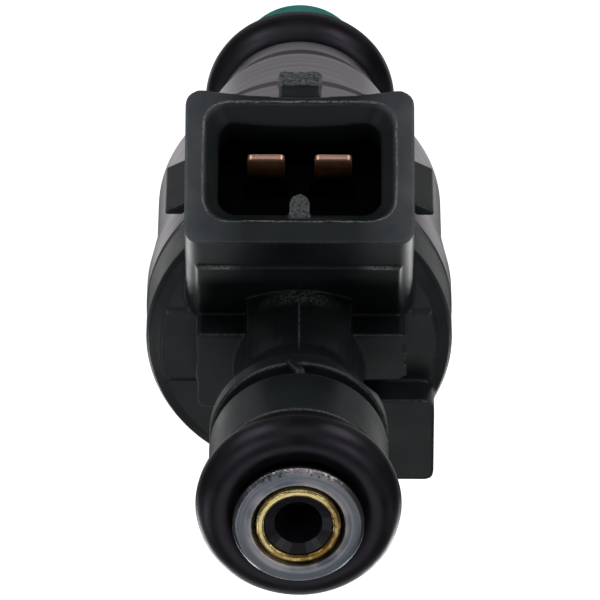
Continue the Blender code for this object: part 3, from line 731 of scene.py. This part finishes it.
def make_terminals(copper):
    """Socket blades: rounded tips, and a bend down to the coil."""
    middle = SOCKET_MOUTH + SOCKET_NOZZLE_SIDE * BLADE_SHIFT
    bend_depth = (BLADE_LEG_Y - middle.y) / -SOCKET_OUT.y
    down = Vector((0.0, 0.0, -1.0))
    stations = []
    for depth, width, thick in (
        (0.0, 1.9, 0.30), (0.03, 2.25, 0.40), (0.10, 2.52, 0.46), (0.22, 2.69, 0.52), (0.42, 2.78, 0.60),
        (0.75, BLADE_WIDTH, BLADE_THICK - 0.04), (0.9, BLADE_WIDTH, BLADE_THICK),
        (1.3, BLADE_WIDTH, BLADE_THICK), (1.9, BLADE_WIDTH, BLADE_THICK), (2.9, BLADE_WIDTH, BLADE_THICK),
        (bend_depth - BLADE_TIP_DEPTH - 0.9, BLADE_WIDTH, BLADE_THICK),
    ):
        centre = middle - SOCKET_OUT * (BLADE_TIP_DEPTH + depth)
        stations.append((centre, SOCKET_NOZZLE_SIDE, width, thick))
    corner = middle - SOCKET_OUT * bend_depth
    for share in (0.25, 0.5, 0.75, 1.0):
        run = 0.9
        start, end = corner + SOCKET_OUT * run, corner + down * run
        centre = start * (1 - share) ** 2 + corner * 2 * share * (1 - share) + end * share ** 2
        outward = (SOCKET_NOZZLE_SIDE * (1 - share) + Vector((0.0, -1.0, 0.0)) * share).normalized()
        stations.append((centre, outward, BLADE_WIDTH, BLADE_THICK))
    foot = Vector((0.0, BLADE_LEG_Y, 30.3))
    stations.append((foot, Vector((0.0, -1.0, 0.0)), BLADE_WIDTH, BLADE_THICK))
    for node, side in (("terminal_left", 1), ("terminal_right", -1)):
        shape = bmesh.new()
        rings = []
        for centre, outward, width, thick in stations:
            corner_r = min(0.13, thick * 0.35)
            section = fillet([
                (width / 2, thick / 2, corner_r), (-width / 2, thick / 2, corner_r),
                (-width / 2, -thick / 2, corner_r), (width / 2, -thick / 2, corner_r),
            ], steps=4)
            ring = []
            for u, v in section:
                point = centre + outward * v
                ring.append(shape.verts.new((side * BLADE_PITCH / 2 + u, point.y, point.z)))
            rings.append(ring)
        skin_over(shape, rings)
        bmesh.ops.recalc_face_normals(shape, faces=shape.faces)
        name = node.replace("terminal", "socket_blade")
        mesh = bpy.data.meshes.new(name)
        shape.to_mesh(mesh)
        shape.free()
        mesh.shade_smooth()
        mesh.set_sharp_from_angle(angle=math.radians(40))
        tip = middle - SOCKET_OUT * BLADE_TIP_DEPTH
        depth = -(positions(mesh) - np.array(tip)) @ np.array(SOCKET_OUT)
        mark(mesh, "wear", np.exp(-(depth / 0.22) ** 2))
        # how deep each point lies in the socket, for the copper's painted shade
        mark(mesh, "depth", (depth - 0.3) / 2.6)
        finished(name, mesh, copper, replaces=[node])


# ---------------------------------------------------------------- moulding

def solid(name, shape):
    """A temporary object in millimetres, for the union that the moulding is made from."""
    bmesh.ops.remove_doubles(shape, verts=shape.verts, dist=1e-4)
    bmesh.ops.recalc_face_normals(shape, faces=shape.faces)
    mesh = bpy.data.meshes.new(name)
    shape.to_mesh(mesh)
    shape.free()
    piece = bpy.data.objects.new(name, mesh)
    bpy.context.scene.collection.objects.link(piece)
    return piece


def spun(name, outline, segments=144):
    """A turned solid whose outline starts and ends on the axis."""
    shape = bmesh.new()
    points = [shape.verts.new((radius, 0.0, height)) for radius, height in outline]
    edges = [shape.edges.new(pair) for pair in zip(points, points[1:])]
    bmesh.ops.spin(
        shape, geom=points + edges, cent=(0, 0, 0), axis=(0, 0, 1),
        angle=2 * math.pi, steps=segments, use_merge=True,
    )
    return solid(name, shape)


def upright(height):
    return Matrix.Translation((0.0, 0.0, height))


def in_socket(depth, shift=0.0):
    """Placement of an outline drawn across the socket (X, towards the inlet) and raised out of it."""
    origin = SOCKET_MOUTH - SOCKET_OUT * depth + SOCKET_NOZZLE_SIDE * shift
    columns = (Vector((1, 0, 0)), -SOCKET_NOZZLE_SIDE, SOCKET_OUT)
    return Matrix.Translation(origin) @ Matrix(columns).transposed().to_4x4()


def sideways(x):
    """Placement of an outline drawn in Y and Z and raised along X from this x."""
    columns = (Vector((0, 1, 0)), Vector((0, 0, 1)), Vector((1, 0, 0)))
    return Matrix.Translation((x, 0, 0)) @ Matrix(columns).transposed().to_4x4()


def prism(name, outline, depth, placement):
    shape = bmesh.new()
    face = shape.faces.new([shape.verts.new((u, v, 0.0)) for u, v in outline])
    grown = bmesh.ops.extrude_face_region(shape, geom=[face])
    top = [item for item in grown["geom"] if isinstance(item, bmesh.types.BMVert)]
    bmesh.ops.translate(shape, vec=(0, 0, depth), verts=top)
    bmesh.ops.transform(shape, matrix=placement, verts=shape.verts)
    return solid(name, shape)


def facing(y):
    """Placement of an outline drawn in X and Z and raised along Y from this y."""
    columns = (Vector((1, 0, 0)), Vector((0, 0, 1)), Vector((0, 1, 0)))
    return Matrix.Translation((0, y, 0)) @ Matrix(columns).transposed().to_4x4()


def rectangle(x_low, x_high, y_low, y_high):
    return [(x_low, y_low), (x_high, y_low), (x_high, y_high), (x_low, y_high)]


def dished(size, radius, dish, steps=8):
    """A rounded rectangle about (0, 0) whose nozzle side dips in by dish at its middle."""
    width, height = size
    corners = (
        (width / 2 - radius, height / 2 - radius, 0), (radius - width / 2, height / 2 - radius, 90),
        (radius - width / 2, radius - height / 2, 180), (width / 2 - radius, radius - height / 2, 270),
    )
    points = []
    for x, y, start in corners:
        points += arc((x, y), radius, start, start + 90, steps)
    flat = width / 2 - radius
    dips = []
    for i in range(1, 16):
        x = -flat + 2 * flat * i / 16
        dips.append((x, -height / 2 + dish * (1 - (x / flat) ** 2)))
    after_third = 3 * (steps + 1)
    return points[:after_third] + dips + points[after_third:]


def combine(piece, other, operation):
    step = piece.modifiers.new(operation.lower(), "BOOLEAN")
    step.operation = operation
    step.solver = "EXACT"
    step.object = other


def socket_pad():
    """Slightly raised field on the socket's inlet side: highest near the mouth, flush at its back."""
    front, back, sunk = PAD_FRONT_DEPTH, 12.5, 1.0
    outline = []
    for behind, rise in ((front, -sunk), (front, PAD_HEIGHT), (back, -0.05), (back, -sunk)):
        point = SOCKET_MOUTH - SOCKET_OUT * behind - SOCKET_NOZZLE_SIDE * (SOCKET_OUTER[1] / 2 + rise)
        outline.append((point.y, point.z))
    return prism("pad", outline, 15.1, sideways(-7.5))


def neck_foot():
    """Round-fronted foot of the neck on the connector side, which runs up into the neck."""
    steps = 14
    profile = [(FOOT_R, 39.0), (FOOT_R, BLOCK_TOP_Z), (6.2, 44.0), (5.6, 45.6), (5.1, 47.0), (4.6, 48.5)]
    shape = bmesh.new()
    rings = []
    for radius, height in profile:
        half_angle = math.degrees(math.asin(FOOT_HALF_WIDTH / radius))
        outline = arc((0, 0), radius, -90 - half_angle, -90 + half_angle, steps)
        outline += [(FOOT_HALF_WIDTH, 0.0), (-FOOT_HALF_WIDTH, 0.0)]
        rings.append([shape.verts.new((x, y, height)) for x, y in outline])
    skin_over(shape, rings)
    return solid("neck_foot", shape)


def collar_facet():
    """Where the gate was trimmed off the collar, on its -X side."""
    width, turned_by = 4.4, math.radians(138.0)
    outline = [(6.0, 51.5), (8.0, 51.5), (8.0, 53.45), (6.68, 53.45)]
    facet = prism("facet", outline, width, sideways(-width / 2))
    facet.data.transform(Matrix.Rotation(turned_by, 4, "Z"))
    return facet


def socket_hollow():
    inset, flare_depth = SOCKET_LEAD_IN
    over = 0.5
    shape = bmesh.new()
    loops = []
    for depth, shrink in ((SOCKET_DEPTH, inset), (flare_depth, inset), (0.0, 0.0), (-over, 0.0)):
        size = (SOCKET_MOUTH_SIZE[0] - 2 * shrink, SOCKET_MOUTH_SIZE[1] - 2 * shrink)
        outline = dished(size, SOCKET_CORNER_R - 0.5 * shrink, 0.3)
        loops.append([shape.verts.new((u, v, -depth)) for u, v in outline])
    skin_over(shape, loops)
    bmesh.ops.transform(shape, matrix=in_socket(0.0, SOCKET_INNER_SHIFT), verts=shape.verts)
    return solid("hollow", shape)


def terminal_slot(side):
    """Where a blade and its leg pass through the moulding."""
    gap = 0.15
    half = BLADE_THICK / 2 + gap
    middle = SOCKET_MOUTH + SOCKET_NOZZLE_SIDE * BLADE_SHIFT
    top = middle - SOCKET_OUT * (SOCKET_DEPTH - 1.5)
    bend_depth = (BLADE_LEG_Y - middle.y) / -SOCKET_OUT.y
    bend_z = middle.z - SOCKET_OUT.z * bend_depth
    spread = half * math.tan(SOCKET_LEAN / 2)
    across = SOCKET_NOZZLE_SIDE * half
    corners = [top - across, top + across]
    outline = [(point.y, point.z) for point in corners] + [
        (BLADE_LEG_Y - half, bend_z - spread), (BLADE_LEG_Y - half, 30.0), (BLADE_LEG_Y + half, 30.0),
        (BLADE_LEG_Y + half, bend_z + spread),
    ]
    width = BLADE_WIDTH + 2 * gap
    return prism("slot", outline, width, sideways(side * BLADE_PITCH / 2 - width / 2))


def neck_parts():
    """The plate, the block, the tab and the foot round the neck, with the flash left on the block's edges."""
    plate_r, plate_z = 10.4, 37.0
    angle = math.degrees(math.asin(PLATE_HALF_Y / plate_r))
    right = arc((0, 0), plate_r, -angle, angle, 12)
    outline = right + [(-x, y) for x, y in reversed(right)]
    plate = prism("plate", outline, PLATE_TOP_Z - plate_z, upright(plate_z))
    block_z = 38.6
    block = prism("block", fillet([
        (0.0, 0.98, 0.0), (-7.8, 0.98, 0.35), (-7.8, -PLATE_HALF_Y, 0.35), (7.6, -PLATE_HALF_Y, 0.35),
        (7.6, 3.4, 0.7), (0.0, 3.4, 0.0),
    ]), BLOCK_TOP_Z - block_z, upright(block_z))
    lug_z = 35.6
    lug = prism("lug", fillet([
        (-3.0, 3.0, 0.0), (-10.2, 3.0, 1.0), (-10.2, 10.0, 0.7), (-3.0, 10.0, 0.0),
    ]), LUG_TOP_Z - lug_z, upright(lug_z))
    flash = [
        prism("flash", rectangle(-8.05, -7.6, low, high), 0.22, upright(BLOCK_TOP_Z - 0.22))
        for low, high in ((-2.9, -2.3), (-1.35, -0.75), (-0.35, 0.7))
    ] + [prism("flash", rectangle(7.4, 7.75, -0.4, 1.0), 0.25, upright(BLOCK_TOP_Z - 0.4))]
    return [plate, block, lug, neck_foot()] + flash


def latch_wedge():
    """The ramp on the socket's nozzle side that a plug's latch clicks over."""
    width = 3.1
    wall = SOCKET_OUTER[1] / 2
    ramp = []
    for depth, rise in ((0.3, -1.5), (0.3, 0.45), (1.3, 2.2), (3.4, 2.2), (3.7, -1.5)):
        point = SOCKET_MOUTH - SOCKET_OUT * depth + SOCKET_NOZZLE_SIDE * (wall + rise)
        ramp.append((point.y, point.z))
    return prism("wedge", ramp, width, sideways(-width / 2))


def socket_key():
    """Round-topped rib inside the socket that keeps a plug the right way up."""
    key_r, key_height, front_depth = 0.75, 1.5, 0.8
    key_wall = SOCKET_MOUTH_SIZE[1] / 2 - SOCKET_LEAD_IN[0]
    key_outline = [(key_r, key_wall + 1.0), (-key_r, key_wall + 1.0)]
    key_outline += arc((0.0, key_wall - key_height + key_r), key_r, 180, 360, 14)
    floor = SOCKET_DEPTH + 0.4
    return prism("key", key_outline, floor - front_depth, in_socket(floor, SOCKET_INNER_SHIFT))


def moulding_parts():
    """The shapes that join into the moulding, then the shapes cut out of it."""
    groove_r, groove_low, groove_high = CLIP_GROOVE
    body = spun("moulding_form", [
        (0.0, RING_TOP_Z), (SPIGOT_R, RING_TOP_Z), (SPIGOT_R, groove_high), (groove_r, groove_high),
        (groove_r, groove_low), (SPIGOT_R, groove_low), (SPIGOT_R, COLLAR_LOW_Z), (NECK_R, COLLAR_LOW_Z),
        (NECK_R, FLANGE_TOP_Z), (10.5, FLANGE_TOP_Z),
        (11.3, FLANGE_TOP_Z - 0.4), (FLANGE_R, FLANGE_TOP_Z - 1.1), (FLANGE_R, 30.0), (0.0, 30.0),
    ])
    half = [(4.9, -10.75), (10.15, -8.1), (10.15, -7.7), (7.0, -7.7)]
    saddle = prism("saddle", half + [(-x, y) for x, y in reversed(half)], 6.7, upright(26.7))
    burr = prism("burr", fillet([
        (0.85, 53.25, 0.0), (0.35, 53.45, 0.2), (-0.05, 54.05, 0.3), (-0.45, 54.75, 0.0), (0.05, 54.95, 0.2),
        (0.45, 54.5, 0.3), (0.75, 53.9, 0.2),
    ], steps=3), 0.45, facing(-6.85))
    socket = prism("socket", dished(SOCKET_OUTER, 1.2, SOCKET_DISH), 14.0, in_socket(14.0))
    tube_r, pole_r, stem_r, stem_z = 4.0, 5.05, 9.9, 33.5
    rim_r, flange_low = HOUSING_RIM_R + 0.15, 34.6
    inside = spun("inside", [
        (0.0, 61.0), (tube_r, 61.0), (tube_r, 37.15), (pole_r, 36.15), (pole_r, stem_z),
        (stem_r, stem_z), (stem_r, flange_low), (rim_r, flange_low), (rim_r, 31.3), (11.3, 26.9),
        (11.1, 20.0), (0.0, 20.0),
    ])
    joined = [socket, socket_pad(), saddle, latch_wedge(), burr] + neck_parts()
    cut = [inside, collar_facet(), socket_hollow(), terminal_slot(-1), terminal_slot(1)]
    return body, joined, cut, socket_key()


def socket_places(points):
    """Each point across the socket (X, towards the inlet) and out of its mouth."""
    offset = points - np.array(SOCKET_MOUTH)
    return points[:, 0], -offset @ np.array(SOCKET_NOZZLE_SIDE), offset @ np.array(SOCKET_OUT)


def from_rounded_rectangle(u, v, size, radius):
    """Distance from a rounded rectangle's outline, negative inside."""
    du = np.abs(u) - (size[0] / 2 - radius)
    dv = np.abs(v) - (size[1] / 2 - radius)
    outside = np.hypot(np.maximum(du, 0), np.maximum(dv, 0))
    return outside + np.minimum(np.maximum(du, dv), 0) - radius


def moulding_mesh():
    """One skin over the joined shapes, with every edge and corner softened as in a moulding."""
    body, joined, cut, key = moulding_parts()
    for piece in joined:
        combine(body, piece, "UNION")
    for piece in cut:
        combine(body, piece, "DIFFERENCE")
    combine(body, key, "UNION")
    skin = body.modifiers.new("skin", "REMESH")
    skin.mode = "VOXEL"
    skin.voxel_size = VOXEL
    relax = body.modifiers.new("relax", "SMOOTH")
    relax.factor = 0.5
    relax.iterations = 3
    mesh = evaluated_mesh(body)
    for piece in [body, key] + joined + cut:
        bpy.data.objects.remove(piece, do_unlink=True)
    return mesh


def thinned(mesh, ratio):
    """The mesh with fewer faces where it is flat."""
    temporary = bpy.data.objects.new("thinned", mesh)
    bpy.context.scene.collection.objects.link(temporary)
    thin = temporary.modifiers.new("thin", "DECIMATE")
    thin.ratio = ratio
    even = temporary.modifiers.new("even", "WEIGHTED_NORMAL")
    even.weight = 50
    result = evaluated_mesh(temporary)
    bpy.data.objects.remove(temporary)
    return result


def make_moulding(plastic):
    """The moulding. Its "depth" mark paints shade: it darkens the socket's hollow and the gap behind it.
    Its "wear" pales the knocked edges, the latch ramp and the key; on the sharp edges that paleness
    is partly wear and partly painted edge highlights."""
    mesh = moulding_mesh()
    points = positions(mesh)
    u, v, out = socket_places(points)
    wall = SOCKET_OUTER[1] / 2
    on_ramp = (np.abs(u) < 1.65) & (-v > wall + 0.5) & (out < -0.35) & (out > -3.2)
    grain = rough_at(points, 2.4, on_ramp) * 0.16 + rough_at(points, 5.0, on_ramp) * 0.08
    points = points + directions(mesh) * grain[:, None]
    move_points(mesh, points)
    hollow = from_rounded_rectangle(u, v + SOCKET_INNER_SHIFT, SOCKET_MOUTH_SIZE, SOCKET_CORNER_R)
    painted_shade = (hollow < 0.2) * np.clip(-out / SOCKET_DEPTH, 0.0, 1.0)
    on_key = (np.abs(u) < 0.8) & (hollow < -0.05) & (v > 1.5) & (out > -1.0)
    x, y, z = positions(mesh).T
    # gap marks the space between the socket's underside and the block, for painted shade there
    gap = np.ones(len(points))
    for inwards, fade in (
        (7.9 - np.abs(x), 0.5), (y + 9.0, 1.5), (-2.2 - y, 1.0), (z - 38.2, 1.5), (49.5 - z, 3.0),
    ):
        gap *= np.clip(inwards / fade, 0, 1)
    # painted shade: the hollow darkens with depth, the gap behind the socket a little
    mark(mesh, "depth", np.maximum(painted_shade, 0.42 * gap))
    # on the sharp edges this paleness is partly wear and partly painted edge highlights
    mark(mesh, "wear", on_ramp * 0.55 + on_key * 0.5 + 0.45 * sharpness(mesh) * (painted_shade < 0.25))
    mesh.shade_smooth()
    triangles = len(mesh.polygons) * 2
    result = thinned(mesh, min(1.0, MOULDING_TRIANGLES / triangles))
    finished("connector_moulding", result, plastic, replaces=["connector_body"])


# ---------------------------------------------------------------- assembly

def dress(node, material):
    """A CAD node that stays gets its finish."""
    NODES[node].data.materials.clear()
    NODES[node].data.materials.append(material)


def main():
    make_camera()
    make_studio()
    rubber = seal_rubber()
    plastic = moulding_plastic()
    body_steel = turned_metal(
        "nozzle steel", [(0.30, 0.28, 0.31), (0.40, 0.38, 0.41), (0.34, 0.31, 0.33)], (0.26, 0.40))
    housing_steel = turned_metal(
        "housing steel", [(0.31, 0.29, 0.32), (0.42, 0.40, 0.43), (0.35, 0.32, 0.35)], (0.28, 0.42))
    tube_steel = turned_metal(
        "tube steel", [(0.085, 0.10, 0.125), (0.215, 0.24, 0.275), (0.145, 0.12, 0.105)], (0.22, 0.40),
        grooves=0.6, depth=0.006, worn=(0.95, 0.86, 0.88))
    iron = turned_metal(
        "magnet iron", [(0.30, 0.30, 0.31), (0.38, 0.38, 0.39), (0.26, 0.25, 0.25)], (0.34, 0.5))
    spring = turned_metal(
        "spring steel", [(0.40, 0.40, 0.42), (0.52, 0.52, 0.54), (0.36, 0.35, 0.36)], (0.2, 0.32))
    copper = contact_copper()
    make_seals(rubber)
    make_inlet_tube(tube_steel)
    make_filter_ring(rolled_brass())
    make_valve_body(body_steel)
    make_pintle_cap(plain_plastic("cap plastic", (0.0, 0.33, 0.28), (0.01, 0.42, 0.37)))
    make_housing(housing_steel)
    make_terminals(copper)
    make_moulding(plastic)
    for node, material in (
        ("valve_body_seal", rubber), ("lower_coil_seal", rubber), ("upper_coil_seal", rubber),
        ("stop_washer", spring), ("return_spring", spring), ("adjusting_sleeve", spring),
        ("flux_plate", iron), ("armature", iron), ("valve_needle", body_steel),
        ("coil_bobbin", plain_plastic("bobbin plastic", (0.05, 0.04, 0.03), (0.07, 0.06, 0.05))),
        ("coil_winding", wire_winding()), ("filter_screen", strainer_gauze()),
        ("filter_cage", plain_plastic("cage plastic", (0.012, 0.012, 0.018), (0.02, 0.02, 0.028), 0.35)),
    ):
        dress(node, material)


main()
